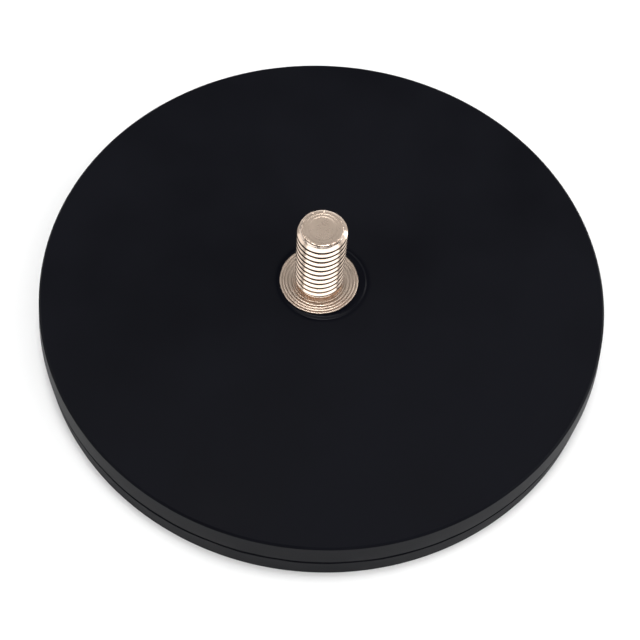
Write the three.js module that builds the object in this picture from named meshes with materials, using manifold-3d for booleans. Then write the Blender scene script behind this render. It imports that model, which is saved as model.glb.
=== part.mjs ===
// A rubber-coated disc magnet with a threaded stud, of the kind used for magnet fishing and for fixing
// gear to steel without scratching it. Two moulded rubber shells close round a steel yoke plate that
// carries eighteen disc magnets. A flanged stud is riveted through the plate and stands up in the middle.
//
// Millimetres. The origin is the centre of the working face that grips the steel, and +Z runs up the stud.

import * as THREE from "three";
import { mergeVertices } from "three/addons/utils/BufferGeometryUtils.js";
import Module from "manifold-3d";

const wasm = await Module();
wasm.setup();

// ---- Driving dimensions ------------------------------------------------------------------------

const BODY_RADIUS = 45.5; // at the parting line, where the two rubber shells meet
const BODY_HEIGHT = 8.75; // working face to back face
const PARTING_HEIGHT = 4.65;
const WALL_DRAFT = 0.5; // how far the cover's side leans in on its way up
const BASE_DRAFT = 0.1; // how far the base's side leans in on its way down

const BACK_EDGE_CHAMFER = 0.35;
const FACE_EDGE_RADIUS = 0.5;
const SEAM_WIDTH = 0.56; // V-groove at the parting line, shared by both shells
const SEAM_DEPTH = 0.45;

const FACE_THICKNESS = 1.0; // rubber between a magnet and the steel that it grips
const MAGNET_RADIUS = 6.5;
const MAGNET_THICKNESS = 3.0;
const MAGNET_CHAMFER = 0.25;
const POCKET_CLEARANCE = 0.12;
const MAGNET_RINGS = [
  { label: "outer", count: 12, radius: 33.6, turn: 0 },
  { label: "inner", count: 6, radius: 17.6, turn: Math.PI / 12 },
];

const YOKE_RADIUS = 42.6;
const YOKE_THICKNESS = 2.5;
const YOKE_CHAMFER = 0.3;
const YOKE_CLEARANCE = 0.1;

const COLLAR_RADIUS = 6.3;
const COLLAR_RISE = 0.3; // the collar's seat stands this far above the back face
const COLLAR_CHAMFER = 0.13;
const COLLAR_GROOVES = [4.89, 5.38, 5.81]; // radii of the turned rings in the seat
const GROOVE_HALF_WIDTH = 0.12;
const GROOVE_DEPTH = 0.08;
const BOSS_RADIUS = 7.2; // the rubber stands up round the collar, inside this ring
const BOSS_HEIGHT = 0.22;
const INSERT_OFFSET = -0.6; // plate, magnets and stud sit in the mould a little off its centre, along X

const SPIGOT_RADIUS = 4.0; // the stud's shank through the yoke plate
const RIVET_RADIUS = 5.6; // its head, upset under the plate
const RIVET_HEIGHT = 1.1;
const RIVET_POCKET_DEPTH = 1.7;
const FIT_GAP = 0.05;

const THREAD_PITCH = 1.25; // M8 coarse, right-hand
const THREAD_CREST = 3.86;
const THREAD_ROOT = 3.22;
const STUD_PROJECTION = 15.15; // back face to the stud's end
const NECK_HEIGHT = 0.7; // plain neck between the seat and the first thread
const LEAD_CHAMFER = 0.45;
const END_FACE_RADIUS = 3.1;
const LAST_CREST_DEPTH = 1.2; // end of the stud down to the thread crest nearest to it, on the -Y side

// ---- Heights worked out from them --------------------------------------------------------------

const magnetTop = FACE_THICKNESS + MAGNET_THICKNESS;
const yokeTop = magnetTop + YOKE_THICKNESS;
const backFace = BODY_HEIGHT;
const seat = backFace + COLLAR_RISE;
const studEnd = backFace + STUD_PROJECTION;
const rivetFoot = magnetTop - RIVET_HEIGHT;
const cavityRadius = YOKE_RADIUS + YOKE_CLEARANCE;

const BODY_SIDES = 96;
const STUD_SIDES = 32;
const MAGNET_SIDES = 24;
const CORNER_STEPS = 3;

// ---- Materials ---------------------------------------------------------------------------------

function material(color, roughness, metalness) {
  return new THREE.MeshStandardMaterial({ color, roughness, metalness });
}

const rubber = material(0x17181a, 0.55, 0.0);
const rubberFace = material(0x141516, 0.6, 0.0);
const plateSteel = material(0x8b8d8f, 0.4, 1.0);
const studSteel = material(0xc9b9a6, 0.25, 1.0);
const magnetNickel = material(0xbfc1c4, 0.22, 1.0);

// ---- Solid helpers -----------------------------------------------------------------------------

// Points on a quarter-circle corner, from angle a0 to a1 in degrees, as [radius, height].
function corner(centreRadius, centreHeight, r, a0, a1) {
  const points = [];
  for (let i = 0; i <= CORNER_STEPS; i++) {
    const a = THREE.MathUtils.degToRad(a0 + ((a1 - a0) * i) / CORNER_STEPS);
    points.push([centreRadius + r * Math.cos(a), centreHeight + r * Math.sin(a)]);
  }
  return points;
}

// A solid of revolution about Z. The outline runs anticlockwise in (radius, height), and it either
// starts and ends on the axis or closes on itself.
function revolved(outline, sides) {
  const points = outline.map(([r, z]) => new THREE.Vector2(r, z));
  const onAxis = outline[0][0] === 0;
  if (!onAxis) points.push(points[0].clone());
  const geometry = new THREE.LatheGeometry(points, sides);
  geometry.rotateX(Math.PI / 2); // the lathe turns about Y
  return geometry;
}

// A closed geometry as a manifold solid.
function solid(geometry) {
  const bare = geometry.clone();
  bare.deleteAttribute("normal");
  bare.deleteAttribute("uv");
  const merged = mergeVertices(bare, 1e-4);
  const index = merged.index.array;
  const triangles = [];
  for (let i = 0; i < index.length; i += 3) {
    const [a, b, c] = [index[i], index[i + 1], index[i + 2]];
    if (a !== b && b !== c && c !== a) triangles.push(a, b, c);
  }
  return new wasm.Manifold(
    new wasm.Mesh({
      numProp: 3,
      vertProperties: new Float32Array(merged.attributes.position.array),
      triVerts: new Uint32Array(triangles),
    }),
  );
}

// A manifold solid as a geometry with flat faces.
function geometryOf(manifold) {
  const mesh = manifold.getMesh();
  const geometry = new THREE.BufferGeometry();
  geometry.setAttribute("position", new THREE.BufferAttribute(mesh.vertProperties, mesh.numProp));
  geometry.setIndex(new THREE.BufferAttribute(mesh.triVerts, 1));
  const faceted = geometry.toNonIndexed();
  faceted.computeVertexNormals();
  return faceted;
}

// A plain cylinder standing on z0, about the mould's own axis unless it is given another.
function drum(radius, z0, z1, sides, x = 0, y = 0) {
  const geometry = new THREE.CylinderGeometry(radius, radius, z1 - z0, sides);
  geometry.rotateX(Math.PI / 2);
  geometry.translate(x, y, (z0 + z1) / 2);
  return solid(geometry);
}

// Where each magnet sits, ring by ring.
function magnetPlaces() {
  return MAGNET_RINGS.flatMap(({ label, count, radius, turn }) =>
    Array.from({ length: count }, (_, i) => {
      const angle = turn + (2 * Math.PI * i) / count;
      return {
        name: `magnet_${label}_${String(i + 1).padStart(2, "0")}`,
        x: INSERT_OFFSET + radius * Math.cos(angle),
        y: radius * Math.sin(angle),
      };
    }),
  );
}

// ---- Rubber shells -----------------------------------------------------------------------------

// The lower shell: the working face, its rim up to the parting line, and a pocket for every magnet.
function rubberBase() {
  const footRadius = BODY_RADIUS - BASE_DRAFT;
  const outline = [
    [0, 0],
    ...corner(footRadius - FACE_EDGE_RADIUS, FACE_EDGE_RADIUS, FACE_EDGE_RADIUS, -90, 0),
    [BODY_RADIUS, PARTING_HEIGHT - SEAM_WIDTH / 2],
    [BODY_RADIUS - SEAM_DEPTH, PARTING_HEIGHT],
    [0, PARTING_HEIGHT],
  ];
  const pocketRadius = MAGNET_RADIUS + POCKET_CLEARANCE;
  const rivetFloor = magnetTop - RIVET_POCKET_DEPTH;
  const cuts = [
    drum(cavityRadius, magnetTop, backFace, BODY_SIDES, INSERT_OFFSET),
    drum(RIVET_RADIUS + 0.6, rivetFloor, backFace, STUD_SIDES, INSERT_OFFSET),
    ...magnetPlaces().map(({ x, y }) => drum(pocketRadius, FACE_THICKNESS, backFace, MAGNET_SIDES, x, y)),
  ];
  return geometryOf(cuts.reduce((shell, cut) => shell.subtract(cut), solid(revolved(outline, BODY_SIDES))));
}

// The upper shell: the back face and the side above the parting line, moulded over the yoke plate and
// round the stud's collar.
function rubberCover() {
  const shoulder = BODY_RADIUS - WALL_DRAFT;
  const outline = [
    [0, PARTING_HEIGHT],
    [BODY_RADIUS - SEAM_DEPTH, PARTING_HEIGHT],
    [BODY_RADIUS, PARTING_HEIGHT + SEAM_WIDTH / 2],
    [shoulder, backFace - BACK_EDGE_CHAMFER],
    [shoulder - BACK_EDGE_CHAMFER, backFace],
    [BOSS_RADIUS, backFace],
    [BOSS_RADIUS - BOSS_HEIGHT, backFace + BOSS_HEIGHT],
    [0, backFace + BOSS_HEIGHT],
  ];
  const cuts = [
    drum(cavityRadius, 0, yokeTop, BODY_SIDES, INSERT_OFFSET),
    drum(COLLAR_RADIUS + FIT_GAP, 0, studEnd, BODY_SIDES, INSERT_OFFSET),
  ];
  return geometryOf(cuts.reduce((shell, cut) => shell.subtract(cut), solid(revolved(outline, BODY_SIDES))));
}

// ---- Steel and magnets -------------------------------------------------------------------------

// The steel disc that joins the magnets' backs into one circuit, with a hole for the stud.
function yokePlate() {
  const hole = SPIGOT_RADIUS + FIT_GAP;
  return revolved(
    [
      [hole, magnetTop],
      [YOKE_RADIUS - YOKE_CHAMFER, magnetTop],
      [YOKE_RADIUS, magnetTop + YOKE_CHAMFER],
      [YOKE_RADIUS, yokeTop - YOKE_CHAMFER],
      [YOKE_RADIUS - YOKE_CHAMFER, yokeTop],
      [hole, yokeTop],
    ],
    BODY_SIDES,
  );
}

function discMagnet() {
  const rim = MAGNET_RADIUS - MAGNET_CHAMFER;
  return revolved(
    [
      [0, 0],
      [rim, 0],
      [MAGNET_RADIUS, MAGNET_CHAMFER],
      [MAGNET_RADIUS, MAGNET_THICKNESS - MAGNET_CHAMFER],
      [rim, MAGNET_THICKNESS],
      [0, MAGNET_THICKNESS],
    ],
    MAGNET_SIDES,
  );
}

// ---- Stud --------------------------------------------------------------------------------------

// The thread's ridge: a 60 degree section carried up a right-hand helix, closed at both ends.
function threadRidge(zLow, zHigh, crestAtFront) {
  const buried = THREAD_ROOT - 0.12; // the section's foot lies inside the core
  const crestHalf = THREAD_PITCH / 16;
  const footHalf = crestHalf + (THREAD_CREST - buried) * Math.tan(Math.PI / 6);
  const section = [
    [buried, -footHalf],
    [THREAD_CREST, -crestHalf],
    [THREAD_CREST, crestHalf],
    [buried, footHalf],
  ];
  const front = -Math.PI / 2;
  const steps = Math.ceil(((zHigh - zLow) / THREAD_PITCH) * STUD_SIDES);
  const first = Math.round(((zLow - crestAtFront) / THREAD_PITCH) * STUD_SIDES);
  const position = [];
  for (let i = 0; i <= steps; i++) {
    const turns = (first + i) / STUD_SIDES;
    const angle = front + 2 * Math.PI * turns;
    for (const [r, dz] of section) {
      position.push(r * Math.cos(angle), r * Math.sin(angle), crestAtFront + THREAD_PITCH * turns + dz);
    }
  }
  const n = section.length;
  const index = [0, 1, 2, 0, 2, 3];
  for (let i = 0; i < steps; i++) {
    for (let k = 0; k < n; k++) {
      const a = i * n + k;
      const b = i * n + ((k + 1) % n);
      index.push(a, a + n, b, b, a + n, b + n);
    }
  }
  const last = steps * n;
  index.push(last, last + 2, last + 1, last, last + 3, last + 2);
  const geometry = new THREE.BufferGeometry();
  geometry.setAttribute("position", new THREE.Float32BufferAttribute(position, 3));
  geometry.setIndex(index);
  return solid(geometry);
}

// The collar's seat, from its rim inwards, with the turned rings cut into it.
function seatOutline() {
  const rings = COLLAR_GROOVES.toReversed().flatMap((r) => [
    [r + GROOVE_HALF_WIDTH, seat],
    [r, seat - GROOVE_DEPTH],
    [r - GROOVE_HALF_WIDTH, seat],
  ]);
  return [[COLLAR_RADIUS, seat - COLLAR_CHAMFER], [COLLAR_RADIUS - COLLAR_CHAMFER, seat], ...rings];
}

// The stud in one piece: riveted foot, spigot, collar, neck and thread.
function threadedStud() {
  const core = solid(
    revolved(
      [
        [0, rivetFoot],
        [RIVET_RADIUS - 0.5, rivetFoot],
        [RIVET_RADIUS, rivetFoot + 0.5],
        [RIVET_RADIUS, magnetTop],
        [SPIGOT_RADIUS, magnetTop],
        [SPIGOT_RADIUS, yokeTop],
        [COLLAR_RADIUS, yokeTop],
        ...seatOutline(),
        [THREAD_ROOT + 0.25, seat],
        [THREAD_ROOT, seat + 0.25],
        [THREAD_ROOT, studEnd - 0.2],
        [END_FACE_RADIUS, studEnd],
        [0, studEnd],
      ],
      STUD_SIDES,
    ),
  );
  const threadFoot = seat + NECK_HEIGHT;
  const leadFoot = studEnd - 0.2 - LEAD_CHAMFER;
  const envelope = solid(
    revolved(
      [
        [0, threadFoot],
        [THREAD_ROOT, threadFoot],
        [THREAD_CREST, threadFoot + (THREAD_CREST - THREAD_ROOT)],
        [THREAD_CREST, leadFoot],
        [THREAD_ROOT, studEnd - 0.2],
        [0, studEnd - 0.2],
      ],
      STUD_SIDES,
    ),
  );
  const ridge = threadRidge(threadFoot - THREAD_PITCH, studEnd + THREAD_PITCH, studEnd - LAST_CREST_DEPTH);
  return geometryOf(core.add(ridge.intersect(envelope)));
}

// ---- Assembly ----------------------------------------------------------------------------------

function part(name, geometry, finish, x = 0, y = 0, z = 0) {
  const mesh = new THREE.Mesh(geometry, finish);
  mesh.name = name;
  mesh.position.set(x, y, z);
  return mesh;
}

const magnet = new THREE.Group();

magnet.add(part("rubber_base", rubberBase(), rubberFace));
magnet.add(part("rubber_cover", rubberCover(), rubber));
magnet.add(part("yoke_plate", yokePlate(), plateSteel, INSERT_OFFSET));
magnet.add(part("threaded_stud", threadedStud(), studSteel, INSERT_OFFSET));

for (const { name, x, y } of magnetPlaces()) {
  magnet.add(part(name, discMagnet(), magnetNickel, x, y, FACE_THICKNESS));
}

export default magnet;
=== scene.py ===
"""A rubber-coated disc magnet with a threaded steel stud, on a pale floor in soft studio light.

Everything is in metres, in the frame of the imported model: the origin is the centre of the working
face and +Z runs up the stud. The two rubber shells and the stud are rebuilt here in fine mesh, round
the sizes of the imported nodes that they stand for. The yoke plate and the magnets stay as packed.
"""

import math

import bmesh
import bpy
from mathutils import Matrix, Vector, noise


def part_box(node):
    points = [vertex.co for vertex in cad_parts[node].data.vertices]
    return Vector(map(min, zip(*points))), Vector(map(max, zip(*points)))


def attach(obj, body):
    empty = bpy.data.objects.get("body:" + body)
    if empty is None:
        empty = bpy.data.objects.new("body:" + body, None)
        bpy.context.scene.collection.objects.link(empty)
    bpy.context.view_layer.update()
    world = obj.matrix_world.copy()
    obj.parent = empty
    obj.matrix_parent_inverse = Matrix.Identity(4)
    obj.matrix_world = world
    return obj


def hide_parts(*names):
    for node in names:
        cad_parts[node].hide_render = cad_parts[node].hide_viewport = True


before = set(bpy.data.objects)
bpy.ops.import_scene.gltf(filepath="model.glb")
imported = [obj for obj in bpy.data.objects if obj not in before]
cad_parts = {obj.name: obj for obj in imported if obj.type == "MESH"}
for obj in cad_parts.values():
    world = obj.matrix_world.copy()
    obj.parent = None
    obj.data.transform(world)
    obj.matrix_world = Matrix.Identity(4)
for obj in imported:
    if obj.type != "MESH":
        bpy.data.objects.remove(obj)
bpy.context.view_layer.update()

MM = 0.001
TAU = 2 * math.pi

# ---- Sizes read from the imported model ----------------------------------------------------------

base_low, base_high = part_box("rubber_base")
cover_low, cover_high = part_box("rubber_cover")
plate_low, plate_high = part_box("yoke_plate")
stud_low, stud_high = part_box("threaded_stud")

body_radius = cover_high.x
parting = base_high.z
back_face = cover_high.z
plate_radius = (plate_high.x - plate_low.x) / 2
insert_x = (plate_low.x + plate_high.x) / 2  # everything inside sits a little off the mould's axis
collar_radius = (stud_high.x - stud_low.x) / 2
stud_end = stud_high.z
magnet_nodes = sorted(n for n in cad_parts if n.startswith("magnet_"))
magnet_places = []  # the x, y and radius of each
for node in magnet_nodes:
    low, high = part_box(node)
    magnet_places.append(((low.x + high.x) / 2, (low.y + high.y) / 2, (high.y - low.y) / 2))
magnet_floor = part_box(magnet_nodes[0])[0].z

# ---- Sizes of the detail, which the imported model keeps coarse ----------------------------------

SHELL_SIDES = 512
STUD_SIDES = 160
SHARP_ANGLE = math.radians(28)
EDGE_LOOP = 0.15 * MM  # how far a loop that holds an edge crisp lies from it

WALL_DRAFT = 0.5 * MM  # how far the side leans in above the seam
BASE_DRAFT = 0.1 * MM  # and below it
BACK_EDGE_CHAMFER = 0.35 * MM
FACE_EDGE_RADIUS = 0.3 * MM
SEAM_HALF_WIDTH = 0.42 * MM
SEAM_DEPTH = 0.75 * MM
SEAM_LIP = 0.02 * MM  # how far the lower shell stands back from the upper one at the seam
SEAM_WANDER = 0.3 * MM  # how far the parting line strays up and down

FIT_GAP = 0.05 * MM
CAVITY_GAP = 0.1 * MM
POCKET_GAP = 0.12 * MM
RIVET_GAP = 0.6 * MM
MAGNET_SINK = 0.03 * MM  # how far the face sinks over a magnet's edge
MAGNET_SINK_REACH = 1.5 * MM

BOSS_RADIUS = 7.2 * MM
BOSS_HEIGHT = 0.22 * MM
BOSS_SHOULDER = 0.55 * MM  # width of the slope up to its top
BOSS_FOOT = 7.4 * MM  # radius inside which the mould was polished
BOSS_POLISH = 0.45  # roughness there, as a share of the back face's
POLISH_FADE = 0.8 * MM
BORE_LIP = 0.1 * MM  # rounding of the rubber's edge round the collar
BACK_SINK = 0.05 * MM  # how far the back face sinks between the boss and the edge
BACK_SINK_START = BOSS_RADIUS + 1 * MM
COLLAR_RISE = 0.3 * MM
COLLAR_ROUNDING = 0.12 * MM
COLLAR_NICK = 0.1 * MM  # depth of the nicks in the collar's rim
NICK_REACH = 0.25 * MM  # and how far in they run
TURNED_RINGS = [3.95 * MM, 4.3 * MM, 4.89 * MM, 5.38 * MM, 5.81 * MM]
RING_HALF_WIDTH = 0.15 * MM
RING_DEPTH = 0.08 * MM  # of a ring at the collar's rim; they are shallower towards the neck
SEAT_START = 3.75 * MM  # radius inside which the neck's lighter nickel, a painted light, takes over

SPIGOT_RADIUS = 4.0 * MM
RIVET_RADIUS = 5.6 * MM
RIVET_ROUNDING = 0.5 * MM

THREAD_PITCH = 1.25 * MM
THREAD_CREST = 3.86 * MM
THREAD_ROOT = 3.22 * MM
THREAD_ROUNDING = 0.02 * MM
CREST_HALF_WIDTH = 0.185 * MM
ROWS_PER_PITCH = 20
NECK_HEIGHT = 0.5 * MM
NECK_FILLET = 0.38 * MM
RUN_OUT = 0.45 * MM  # height over which the thread fades in above the neck
LEAD_CHAMFER = 0.4 * MM
CREST_AT_FRONT = 1.2 * MM  # below the stud's end, on the -Y side

END_CAP_HEIGHT = 0.38 * MM  # of the plain end above the thread
END_RIM_RADIUS = 3.18 * MM
END_RIM_ROUNDING = 0.1 * MM
END_RIM_BURR = 0.09 * MM
END_STEPS = [2.64 * MM, 2.12 * MM]  # radii of the shallow turned steps in the end face
END_STEP_DEPTH = 0.021 * MM
END_STEP_HALF_WIDTH = 0.12 * MM

seat = back_face + COLLAR_RISE
thread_foot = seat + NECK_HEIGHT
thread_top = stud_end - END_CAP_HEIGHT
lead_foot = thread_top - LEAD_CHAMFER

# ---- Material slots on the pieces that have more than one --------------------------------------

BACK, WALL = range(2)
# the collar slot takes nickel with painted shade, the turned slot (neck and end) nickel with painted
# light
COLLAR, THREAD, TURNED = range(3)


# ---- Mesh helpers ------------------------------------------------------------------------------

def arc(centre_r, centre_z, radius, start, end, steps):
    """Points on a corner from one angle to another, in degrees, as (radius, height)."""
    points = []
    for i in range(steps + 1):
        a = math.radians(start + (end - start) * i / steps)
        points.append((centre_r + radius * math.cos(a), centre_z + radius * math.sin(a)))
    return points


def spread(r0, r1, z, count):
    """Points evenly spaced along a flat face, without its two ends."""
    return [(r0 + (r1 - r0) * i / (count + 1), z) for i in range(1, count + 1)]


def centred(points, x):
    """Outline points as rings about a vertical axis at that x."""
    return [(r, z, x) for r, z in points]


def add_rings(bm, rings, sides, wobble=None):
    """One loop of vertices for each (radius, height, axis x)."""
    loops = []
    for r, z, x in rings:
        loop = []
        for i in range(sides):
            angle = TAU * i / sides
            dr, dz = wobble(r, z, angle) if wobble else (0, 0)
            reach = r + dr
            loop.append(bm.verts.new((x + reach * math.cos(angle), reach * math.sin(angle), z + dz)))
        loops.append(loop)
    return loops


def join_loops(bm, loops, finish=0):
    """Quads from each loop to the next, in that place of the piece's list of materials.

    The outline runs anticlockwise in (radius, height).
    """
    for lower, upper in zip(loops, loops[1:]):
        for i in range(len(lower)):
            j = (i + 1) % len(lower)
            bm.faces.new((lower[i], lower[j], upper[j], upper[i])).material_index = finish


def finish_mesh(bm, name, weld=0.0005 * MM):
    """Welds what meets, marks the sharp edges and links the piece to the scene."""
    bmesh.ops.remove_doubles(bm, verts=bm.verts, dist=weld)
    bmesh.ops.dissolve_degenerate(bm, edges=bm.edges, dist=weld)
    bmesh.ops.recalc_face_normals(bm, faces=bm.faces)
    for face in bm.faces:
        face.smooth = True
    for edge in bm.edges:
        edge.smooth = edge.is_manifold and edge.calc_face_angle() < SHARP_ANGLE
    mesh = bpy.data.meshes.new(name)
    bm.to_mesh(mesh)
    bm.free()
    piece = bpy.data.objects.new(name, mesh)
    bpy.context.scene.collection.objects.link(piece)
    return piece


def ripple(angle, z, waves, seed):
    """Smooth repeatable noise that runs round the part and closes on itself."""
    return noise.noise(Vector((waves * math.cos(angle), waves * math.sin(angle), z / MM + seed)))


def near(value, target, width):
    """1 at the target, falling smoothly to 0 at that distance from it."""
    t = max(0.0, 1 - abs(value - target) / width)
    return t * t * (3 - 2 * t)


# ---- Rubber shells -----------------------------------------------------------------------------

def seam_wobble(r, z, angle):
    """The parting line wanders a little and opens and closes, as moulded edges do."""
    weight = near(z, parting, 3 * SEAM_HALF_WIDTH) * near(r, body_radius, SEAM_DEPTH)
    wander = SEAM_WANDER * (ripple(angle, 0, 5, 3.1) + 0.4 * ripple(angle, 0, 19, 7.7))
    opening = 0.6 * SEAM_WANDER * ripple(angle, 0, 8, 12.4)
    side = 1 if z > parting else -1 if z < parting else 0
    return -0.3 * abs(opening) * weight, (wander + side * opening) * weight


def base_wobble(r, z, angle):
    """The seam's wander, and faint rings sunk in the working face over the magnets' edges."""
    dr, dz = seam_wobble(r, z, angle)
    if z == 0 and r > 0:
        x, y = r * math.cos(angle), r * math.sin(angle)
        for magnet_x, magnet_y, magnet_radius in magnet_places:
            reach = math.hypot(x - magnet_x, y - magnet_y)
            dz += MAGNET_SINK * near(reach, magnet_radius, MAGNET_SINK_REACH)
    return dr, dz


def cover_wobble(r, z, angle):
    """The seam's wander, and the faint sink of the back face between the boss and the edge."""
    dr, dz = seam_wobble(r, z, angle)
    if z >= back_face and r > BACK_SINK_START:
        inside = near(r, 0.55 * body_radius, 0.42 * body_radius)
        dz -= BACK_SINK * inside * (0.6 + 0.4 * ripple(angle, r / 9, 2, 21.5))
    return dr, dz


def cut(piece, cutters):
    """Takes the cutters' shapes out of the piece, and removes them."""
    for cutter in cutters:
        modifier = piece.modifiers.new("cut", "BOOLEAN")
        modifier.operation = "DIFFERENCE"
        modifier.solver = "EXACT"
        modifier.object = cutter
    depsgraph = bpy.context.evaluated_depsgraph_get()
    mesh = bpy.data.meshes.new_from_object(piece.evaluated_get(depsgraph))
    piece.modifiers.clear()
    piece.data = mesh
    for cutter in cutters:
        bpy.data.objects.remove(cutter)


def drum(name, x, y, radius, z0, z1, sides=64):
    """A plain cylinder to cut with."""
    bm = bmesh.new()
    loops = add_rings(bm, centred([(0, z0), (radius, z0), (radius, z1), (0, z1)], 0), sides)
    join_loops(bm, loops)
    bmesh.ops.translate(bm, verts=bm.verts, vec=(x, y, 0))
    return finish_mesh(bm, name)


def make_base():
    """The lower shell: working face, rounded foot, side up to the seam and the magnets' pockets."""
    foot = body_radius - BASE_DRAFT
    flat = foot - FACE_EDGE_RADIUS
    outline = [
        (0, 0), *spread(0, flat, 0, 40),
        *arc(flat, FACE_EDGE_RADIUS, FACE_EDGE_RADIUS, -90, 0, 10),
        (body_radius - 0.5 * BASE_DRAFT, 0.5 * parting),
        (body_radius - SEAM_LIP, parting - 2 * SEAM_HALF_WIDTH),
        (body_radius - SEAM_LIP, parting - SEAM_HALF_WIDTH),
        (body_radius - 0.5 * SEAM_DEPTH, parting - 0.4 * SEAM_HALF_WIDTH),
        (body_radius - SEAM_DEPTH, parting),
        (0, parting),
    ]
    bm = bmesh.new()
    join_loops(bm, add_rings(bm, centred(outline, 0), SHELL_SIDES, base_wobble))
    base = finish_mesh(bm, "base_shell")
    above = parting + 1 * MM
    cutters = [
        drum("cut_plate", insert_x, 0, plate_radius + CAVITY_GAP, plate_low.z, above, 256),
        drum("cut_rivet", insert_x, 0, RIVET_RADIUS + RIVET_GAP, stud_low.z - RIVET_GAP, above),
    ]
    for x, y, radius in magnet_places:
        cutters.append(drum("cut_magnet", x, y, radius + POCKET_GAP, magnet_floor, above))
    cut(base, cutters)
    return base


def boss_shoulder():
    """The soft slope from the back face up to the level top of the boss."""
    points = []
    for k in range(11):
        t = k / 10
        rise = BOSS_HEIGHT * (1 - math.cos(math.pi * t)) / 2
        points.append((BOSS_RADIUS - t * BOSS_SHOULDER, back_face + rise))
    return points


def make_cover():
    """The upper shell: side above the seam, back edge, back face and boss, and the room inside."""
    shoulder = body_radius - WALL_DRAFT
    flat = shoulder - BACK_EDGE_CHAMFER
    boss_top = back_face + BOSS_HEIGHT
    wall = [
        (body_radius - SEAM_DEPTH, parting),
        (body_radius - 0.5 * SEAM_DEPTH, parting + 0.4 * SEAM_HALF_WIDTH),
        (body_radius, parting + SEAM_HALF_WIDTH),
        (body_radius - 0.12 * WALL_DRAFT, parting + 2 * SEAM_HALF_WIDTH),
        (shoulder + 0.5 * WALL_DRAFT, (parting + back_face) / 2),
        (shoulder, back_face - BACK_EDGE_CHAMFER),
    ]
    top = [
        (flat, back_face),
        (flat - EDGE_LOOP, back_face),
        *spread(flat - EDGE_LOOP, BOSS_FOOT + 2 * EDGE_LOOP, back_face, 48),
        (BOSS_FOOT, back_face),
        *boss_shoulder(),
    ]
    bore = collar_radius + FIT_GAP
    cavity = plate_radius + CAVITY_GAP
    inside = [
        (bore + EDGE_LOOP, boss_top),
        (bore + 0.4 * BORE_LIP, boss_top - 0.3 * BORE_LIP),
        (bore, boss_top - BORE_LIP),
        (bore, plate_high.z),
        (cavity, plate_high.z),
        (cavity, parting),
    ]
    bm = bmesh.new()
    loops = add_rings(bm, centred(wall + top, 0), SHELL_SIDES, cover_wobble)
    loops += add_rings(bm, centred(inside, insert_x), SHELL_SIDES)
    join_loops(bm, loops[:len(wall)], WALL)
    join_loops(bm, loops[len(wall) - 1:] + loops[:1], BACK)
    return finish_mesh(bm, "cover_shell")


# ---- Stud --------------------------------------------------------------------------------------

def soft_min(a, b, k):
    """The smaller of two values, rounded over where they meet."""
    return (a + b - math.sqrt((a - b) ** 2 + k * k)) / 2


def soft_max(a, b, k):
    """The larger of two values, rounded over where they meet."""
    return (a + b + math.sqrt((a - b) ** 2 + k * k)) / 2


def thread_radius(angle, z):
    """The stud's radius at a point of its thread: a rounded 60 degree form on a right-hand helix."""
    turns = (z - (stud_end - CREST_AT_FRONT)) / THREAD_PITCH - (angle + TAU / 4) / TAU
    from_crest = abs(turns - round(turns)) * THREAD_PITCH
    flank = THREAD_CREST + (CREST_HALF_WIDTH - from_crest) * math.tan(math.radians(60))
    capped = soft_min(flank, THREAD_CREST, THREAD_ROUNDING)
    full = soft_max(capped, THREAD_ROOT, 4 * THREAD_ROUNDING)
    fade = min(1.0, max(0.0, (z - thread_foot) / RUN_OUT))
    return THREAD_ROOT + (full - THREAD_ROOT) * fade * fade * (3 - 2 * fade)


def lead_in(z):
    """The cone that the end of the thread is turned down to."""
    return THREAD_CREST + (lead_foot - z) * (THREAD_CREST - THREAD_ROOT) / LEAD_CHAMFER


def add_thread(bm):
    """The threaded length, as rows that follow the helix and stop at a level ring at each end."""
    crest = stud_end - CREST_AT_FRONT
    first = (math.floor((thread_foot - crest) / THREAD_PITCH) - 3) * ROWS_PER_PITCH
    last = (math.ceil((thread_top - crest) / THREAD_PITCH) + 3) * ROWS_PER_PITCH
    columns = []
    for i in range(STUD_SIDES):
        angle = TAU * i / STUD_SIDES
        lift = crest + THREAD_PITCH * (angle + TAU / 4) / TAU
        column = []
        for row in range(first, last + 1):
            z = min(thread_top, max(thread_foot, lift + THREAD_PITCH * row / ROWS_PER_PITCH))
            r = min(thread_radius(angle, z), max(THREAD_ROOT, lead_in(z)))
            if z in (thread_foot, thread_top):
                r = THREAD_ROOT
            column.append(bm.verts.new((insert_x + r * math.cos(angle), r * math.sin(angle), z)))
        columns.append(column)
    count = len(columns[0])
    for i in range(STUD_SIDES):
        right, shift = (columns[i + 1], 0) if i + 1 < STUD_SIDES else (columns[0], ROWS_PER_PITCH)
        for k in range(count - 1 - shift):
            corners = columns[i][k], right[k + shift], right[k + shift + 1], columns[i][k + 1]
            bm.faces.new(corners).material_index = THREAD


def turned_groove(radius):
    """One rounded turning mark in the seat, from outside inwards."""
    depth = RING_DEPTH * (radius / collar_radius) ** 3
    points = []
    for k in range(-4, 5):
        t = k / 4
        drop = depth * (1 + math.cos(math.pi * t)) / 2
        points.append((radius - t * RING_HALF_WIDTH, seat - drop))
    return points


def end_step(radius, level):
    """A shallow rounded step down in the end face, towards the middle."""
    points = []
    for k in range(-3, 4):
        t = k / 3
        drop = END_STEP_DEPTH * (1 + math.sin(math.pi * t / 2)) / 2
        points.append((radius - t * END_STEP_HALF_WIDTH, level - drop))
    return points


def collar_wobble(r, z, angle):
    """Nicks and dents in the collar's rim."""
    inner = collar_radius - NICK_REACH
    hidden = plate_high.z + 0.5 * MM
    if r < inner or z < hidden:
        return 0, 0
    weight = min(1.0, (r - inner) / (0.6 * NICK_REACH))
    dent = max(0.0, ripple(angle, 0, 5, 40.2)) + 0.5 * max(0.0, ripple(angle, 0, 17, 51.9))
    return -COLLAR_NICK * weight * dent, 0


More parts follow.
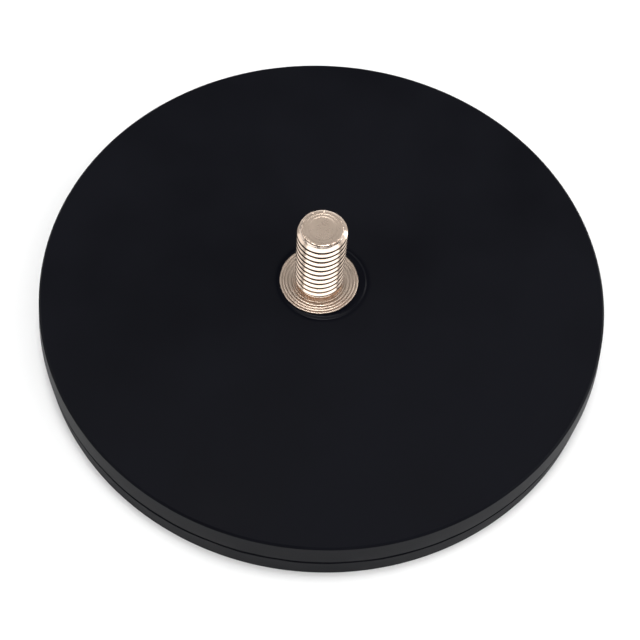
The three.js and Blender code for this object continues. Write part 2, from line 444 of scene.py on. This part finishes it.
def rim_wobble(r, z, angle):
    """A torn little burr round the rim of the end face."""
    weight = near(r, END_RIM_RADIUS, 1.6 * END_RIM_ROUNDING) if z > thread_top else 0
    burr = ripple(angle, 0, 9, 63.7) + 0.8 * ripple(angle, 0, 26, 71.3)
    return 0.6 * END_RIM_BURR * weight * ripple(angle, 0, 21, 80.1), END_RIM_BURR * weight * burr


def make_stud():
    """The stud in one piece: rivet head, spigot, collar and seat, neck, thread and end face."""
    rim = COLLAR_ROUNDING
    below = [
        (0, stud_low.z),
        (RIVET_RADIUS - 2.4 * RIVET_ROUNDING, stud_low.z),
        *arc(RIVET_RADIUS - RIVET_ROUNDING, stud_low.z + RIVET_ROUNDING, RIVET_ROUNDING, -90, 0, 6),
        (RIVET_RADIUS, plate_low.z),
        (SPIGOT_RADIUS, plate_low.z),
        (SPIGOT_RADIUS, plate_high.z),
        (collar_radius, plate_high.z),
        (collar_radius, seat - rim - 2 * EDGE_LOOP),
        *arc(collar_radius - rim, seat - rim, rim, 0, 90, 5),
    ]
    for radius in reversed(TURNED_RINGS):
        below += turned_groove(radius)
    below.append((SEAT_START, seat))
    neck = [
        (SEAT_START, seat),
        *arc(THREAD_ROOT + NECK_FILLET, seat + NECK_FILLET, NECK_FILLET, 270, 180, 6),
        (THREAD_ROOT, thread_foot),
    ]
    level = stud_end - END_RIM_BURR
    rounding = END_RIM_ROUNDING
    above = [
        (THREAD_ROOT, thread_top),
        *arc(END_RIM_RADIUS - rounding, level - rounding, rounding, 0, 90, 5),
        (END_RIM_RADIUS - 2 * rounding, level),
        (END_RIM_RADIUS - 3 * rounding, level),
    ]
    for radius in END_STEPS:
        above += end_step(radius, level)
        level -= END_STEP_DEPTH
    above += [*spread(END_STEPS[-1], 0, level, 2), (0, level)]
    bm = bmesh.new()
    join_loops(bm, add_rings(bm, centred(below, insert_x), STUD_SIDES, collar_wobble), COLLAR)
    join_loops(bm, add_rings(bm, centred(neck, insert_x), STUD_SIDES), TURNED)
    add_thread(bm)
    join_loops(bm, add_rings(bm, centred(above, insert_x), STUD_SIDES, rim_wobble), TURNED)
    return finish_mesh(bm, "stud_turned", weld=0.002 * MM)


# ---- Materials ---------------------------------------------------------------------------------

NOISE_ROUGHNESS = 0.55
RAMP_STOPS = (0.35, 0.65)

RUBBER_DARK = (0.0011, 0.0013, 0.0031)
RUBBER_PALE = (0.0029, 0.0032, 0.0055)
RUBBER_SPECULAR = 0.065
NICKEL_DARK = (0.69, 0.55, 0.445)
NICKEL_PALE = (0.77, 0.62, 0.505)
# painted shade: colours that darken the thread's roots and crests, where shade and dark reflections
# fall
ROOT_PAINTED_SHADE = (0.42, 0.36, 0.32)
ROOT_PAINTED_SHADE_HEIGHT = 0.3 * MM
CREST_PAINTED_SHADE = (0.06, 0.05, 0.045)
CREST_PAINTED_SHADE_COVER = 0.85
CREST_PAINTED_SHADE_BAND = (0.12 * MM, 0.05 * MM)  # below the crest, where it starts and where it is full


def new_material(name):
    """An empty node material with a Principled shader, and short ways to add and join nodes."""
    material = bpy.data.materials.new(name)
    material.use_nodes = True
    tree = material.node_tree
    shader = tree.nodes["Principled BSDF"]

    def add(kind, **settings):
        node = tree.nodes.new("ShaderNode" + kind)
        for key, value in settings.items():
            setattr(node, key, value)
        return node

    return material, shader, add, tree.links.new


def noise_node(add, link, coordinates, scale, detail):
    """Noise in the part's own coordinates, with that many cells in a metre."""
    node = add("TexNoise")
    node.inputs["Scale"].default_value = scale
    node.inputs["Detail"].default_value = detail
    node.inputs["Roughness"].default_value = NOISE_ROUGHNESS
    link(coordinates, node.inputs["Vector"])
    return node.outputs["Fac"]


def ramp(add, link, value, low, high):
    """A colour that goes from low to high over the middle of the value's range."""
    node = add("ValToRGB")
    for stop, position, colour in zip(node.color_ramp.elements, RAMP_STOPS, (low, high)):
        stop.position = position
        stop.color = (*colour, 1)
    link(value, node.inputs["Fac"])
    return node.outputs["Color"]


def remap(add, link, value, from_low, from_high, to_low, to_high):
    """The value, carried from one range to another and held inside it."""
    node = add("MapRange")
    node.inputs["From Min"].default_value = from_low
    node.inputs["From Max"].default_value = from_high
    node.inputs["To Min"].default_value = to_low
    node.inputs["To Max"].default_value = to_high
    link(value, node.inputs["Value"])
    return node.outputs["Result"]


def from_axis(add, link, place, x=0):
    """The distance of each point from the vertical axis at that x."""
    offset = add("VectorMath", operation="SUBTRACT")
    link(place, offset.inputs[0])
    offset.inputs[1].default_value = (x, 0, 0)
    level = add("VectorMath", operation="MULTIPLY")
    link(offset.outputs["Vector"], level.inputs[0])
    level.inputs[1].default_value = (1, 1, 0)
    length = add("VectorMath", operation="LENGTH")
    link(level.outputs["Vector"], length.inputs[0])
    return length.outputs["Value"]


def mix_painted_shade(add, link, factor, below, stain):
    """The colour below, darkened by painted shade as far as the factor says."""
    node = add("Mix", data_type="RGBA")
    link(factor, node.inputs["Factor"])
    link(below, node.inputs["A"])
    node.inputs["B"].default_value = (*stain, 1)
    return node.outputs["Result"]


def bump(add, link, height, distance, onto=None):
    """A bump of that many metres for a height of 1, on top of another if one is given."""
    node = add("Bump")
    node.inputs["Strength"].default_value = 1.0
    node.inputs["Distance"].default_value = distance
    link(height, node.inputs["Height"])
    if onto:
        link(onto, node.inputs["Normal"])
    return node.outputs["Normal"]


def rubber_material(name, satin, polish_radius=0):
    """Black moulded rubber with soft clouds, a fine grain and that range of roughness.

    It is smoother inside the polish radius, where the mould's insert was polished.
    """
    material, shader, add, link = new_material(name)
    place = add("TexCoord").outputs["Object"]
    mottle = noise_node(add, link, place, 45, detail=3)
    grain = noise_node(add, link, place, 3200, detail=2)
    swirl = noise_node(add, link, place, 420, detail=3)
    link(ramp(add, link, mottle, RUBBER_DARK, RUBBER_PALE), shader.inputs["Base Color"])
    radius = from_axis(add, link, place)
    polish = remap(add, link, radius, polish_radius, polish_radius + POLISH_FADE, BOSS_POLISH, 1)
    roughness = add("Math", operation="MULTIPLY")
    link(remap(add, link, mottle, 0.3, 0.7, *satin), roughness.inputs[0])
    link(polish, roughness.inputs[1])
    link(roughness.outputs["Value"], shader.inputs["Roughness"])
    surface = bump(add, link, swirl, 0.004 * MM)
    link(bump(add, link, grain, 0.003 * MM, onto=surface), shader.inputs["Normal"])
    shader.inputs["Specular IOR Level"].default_value = RUBBER_SPECULAR
    return material


def nickel_nodes(name, shade, roughness):
    """Warm nickel plate, its colour scaled by that shade factor (painted shade below 1, painted
    light above it), with that range of roughness, and its nodes.
    """
    material, shader, add, link = new_material(name)
    place = add("TexCoord").outputs["Object"]
    grain = noise_node(add, link, place, 900, detail=5)
    cloud = noise_node(add, link, place, 260, detail=3)
    dark, pale = ([shade * part for part in colour] for colour in (NICKEL_DARK, NICKEL_PALE))
    plain_colour = ramp(add, link, cloud, dark, pale)
    link(plain_colour, shader.inputs["Base Color"])
    link(remap(add, link, grain, 0.3, 0.7, *roughness), shader.inputs["Roughness"])
    shader.inputs["Metallic"].default_value = 1.0
    link(bump(add, link, grain, 0.0006 * MM), shader.inputs["Normal"])
    return material, shader, add, link, place, plain_colour


def nickel_material(name, shade, roughness):
    """Warm nickel plate, its colour scaled by that shade factor (painted shade below 1, painted
    light above it), with that range of roughness.
    """
    return nickel_nodes(name, shade, roughness)[0]


def thread_material():
    """Nickel over rolled thread: bright on the flanks, with painted shade in the roots and a painted
    dark line of shade and dark reflection on the crests.
    """
    material, shader, add, link, place, plain_colour = nickel_nodes("thread_nickel_painted_shade", 1.0, (0.14, 0.22))
    radius = from_axis(add, link, place, insert_x)
    # painted shade: the roots and the crests are darkened by their distance from the axis
    root = remap(add, link, radius, THREAD_ROOT, THREAD_ROOT + ROOT_PAINTED_SHADE_HEIGHT, 1, 0)
    start, full = (THREAD_CREST - depth for depth in CREST_PAINTED_SHADE_BAND)
    crest = remap(add, link, radius, start, full, 0, CREST_PAINTED_SHADE_COVER)
    root_shaded = mix_painted_shade(add, link, root, plain_colour, ROOT_PAINTED_SHADE)
    link(mix_painted_shade(add, link, crest, root_shaded, CREST_PAINTED_SHADE), shader.inputs["Base Color"])
    return material


def plate_material():
    """Zinc-plated steel with a rolled grain."""
    material, shader, add, link = new_material("zinc_steel")
    place = add("TexCoord").outputs["Object"]
    stretch = add("Mapping")
    stretch.inputs["Scale"].default_value = (1, 14, 1)
    link(place, stretch.inputs["Vector"])
    rolled = noise_node(add, link, stretch.outputs["Vector"], 160, detail=5)
    link(ramp(add, link, rolled, (0.36, 0.37, 0.38), (0.5, 0.5, 0.52)), shader.inputs["Base Color"])
    link(remap(add, link, rolled, 0.3, 0.7, 0.28, 0.45), shader.inputs["Roughness"])
    shader.inputs["Metallic"].default_value = 1.0
    link(bump(add, link, rolled, 0.005 * MM), shader.inputs["Normal"])
    return material


def magnet_material():
    """Bright nickel plate over sintered magnet, smooth with faint orange peel."""
    material, shader, add, link = new_material("bright_nickel")
    place = add("TexCoord").outputs["Object"]
    peel = noise_node(add, link, place, 700, detail=2)
    stain = noise_node(add, link, place, 120, detail=4)
    link(ramp(add, link, stain, (0.6, 0.59, 0.57), (0.72, 0.71, 0.69)), shader.inputs["Base Color"])
    link(remap(add, link, stain, 0.3, 0.7, 0.14, 0.24), shader.inputs["Roughness"])
    shader.inputs["Metallic"].default_value = 1.0
    link(bump(add, link, peel, 0.003 * MM), shader.inputs["Normal"])
    return material


def floor_material():
    """Matte white sweep."""
    material, shader, add, link = new_material("white_sweep")
    place = add("TexCoord").outputs["Object"]
    paper = noise_node(add, link, place, 30, detail=4)
    link(ramp(add, link, paper, (0.88, 0.88, 0.88), (0.9, 0.9, 0.9)), shader.inputs["Base Color"])
    shader.inputs["Roughness"].default_value = 0.9
    shader.inputs["Specular IOR Level"].default_value = 0.1
    return material


def paint(piece, material):
    """Covers the whole piece in one material. It sets every face back to the first slot."""
    piece.data.materials.clear()
    piece.data.materials.append(material)


# ---- Pieces and what they stand for ------------------------------------------------------------

def place_piece(piece, node, slot, *materials):
    """The new piece takes these materials, rides on the part's one body and stands for that node."""
    for material in materials:
        piece.data.materials.append(material)
    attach(piece, "root")
    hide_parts(node)


base_finish = rubber_material("base_rubber", satin=(0.54, 0.64))
back_finish = rubber_material("back_rubber", satin=(0.5, 0.68), polish_radius=BOSS_FOOT)
wall_finish = rubber_material("wall_rubber", satin=(0.4, 0.48))
place_piece(make_base(), "rubber_base", "rubber", base_finish)
place_piece(make_cover(), "rubber_cover", "rubber", back_finish, wall_finish)
# a darker copy of the nickel for the collar (painted shade), a lighter one for the neck and end
# (painted light)
stud_finishes = [
    nickel_material("collar_nickel_painted_shade", shade=0.7, roughness=(0.3, 0.38)),
    thread_material(),
    nickel_material("turned_nickel_painted_light", shade=1.1, roughness=(0.26, 0.29)),
]
place_piece(make_stud(), "threaded_stud", "stud_nickel", *stud_finishes)

paint(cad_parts["yoke_plate"], plate_material())
magnet_finish = magnet_material()
for node in magnet_nodes:
    paint(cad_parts[node], magnet_finish)


# ---- Studio ------------------------------------------------------------------------------------

FLOOR_GAP = 0.02 * MM  # between the working face and the floor


def make_floor():
    """A wide flat floor under the working face."""
    bm = bmesh.new()
    bmesh.ops.create_grid(bm, x_segments=4, y_segments=4, size=4)
    bmesh.ops.translate(bm, verts=bm.verts, vec=(0, 0, -FLOOR_GAP))
    floor = finish_mesh(bm, "floor")
    paint(floor, floor_material())


def softbox(name, position, target, width, height, power):
    """A rectangular area light that faces its target."""
    data = bpy.data.lights.new(name, "AREA")
    data.shape = "RECTANGLE"
    data.size, data.size_y = width, height
    data.energy = power
    lamp = bpy.data.objects.new(name, data)
    lamp.location = position
    lamp.rotation_euler = (Vector(target) - Vector(position)).to_track_quat("-Z", "Y").to_euler()
    bpy.context.scene.collection.objects.link(lamp)


def make_world(horizon, overhead):
    """A white room, brighter low down than above the lamps."""
    world = bpy.data.worlds.new("studio")
    world.use_nodes = True
    nodes, link = world.node_tree.nodes, world.node_tree.links.new
    split = nodes.new("ShaderNodeSeparateXYZ")
    link(nodes.new("ShaderNodeTexCoord").outputs["Generated"], split.inputs["Vector"])
    fade = nodes.new("ShaderNodeMapRange")
    fade.interpolation_type = "SMOOTHSTEP"
    fade.inputs["From Min"].default_value = 0.1
    fade.inputs["From Max"].default_value = 0.5
    fade.inputs["To Min"].default_value = horizon
    fade.inputs["To Max"].default_value = overhead
    link(split.outputs["Z"], fade.inputs["Value"])
    background = nodes["Background"]
    background.inputs["Color"].default_value = (1, 1, 1, 1)
    link(fade.outputs["Result"], background.inputs["Strength"])
    bpy.context.scene.world = world


def make_camera():
    """The photograph's view: from the -Y side, high up, with a slight roll."""
    distance, elevation, roll = 215.1 * MM, math.radians(59.51), math.radians(3.0)
    position = Vector((0, -distance * math.cos(elevation), distance * math.sin(elevation)))
    aim = Vector((-3.185 * MM, -2.378 * MM, 0))
    data = bpy.data.cameras.new("camera")
    data.lens = 72.98
    data.sensor_width = 36
    data.shift_x = 0.031
    data.clip_start, data.clip_end = 0.01, 20
    camera = bpy.data.objects.new("camera", data)
    look = (aim - position).to_track_quat("-Z", "Y").to_matrix().to_4x4()
    camera.matrix_world = Matrix.Translation(position) @ look @ Matrix.Rotation(roll, 4, "Z")
    bpy.context.scene.collection.objects.link(camera)
    bpy.context.scene.camera = camera


make_floor()
make_world(horizon=0.8, overhead=0.33)
softbox("ceiling_box", (0, -0.5, 1.0), (0, -0.5, 0), width=2.1, height=0.6, power=9)
softbox("key_box", (0, 0.08, 1.0), (0, 0, 0), width=0.3, height=0.25, power=4.6)
softbox("left_box", (-0.86, 0.28, 0.62), (0, 0, 0), width=0.6, height=0.5, power=0.9)
softbox("right_box", (0.86, 0.28, 0.62), (0, 0, 0), width=0.6, height=0.5, power=0.8)
softbox("low_right_box", (1.1, 0.35, 0.3), (0, 0, 0), width=0.8, height=0.5, power=6)
make_camera()
bpy.context.scene.view_settings.view_transform = "Standard"
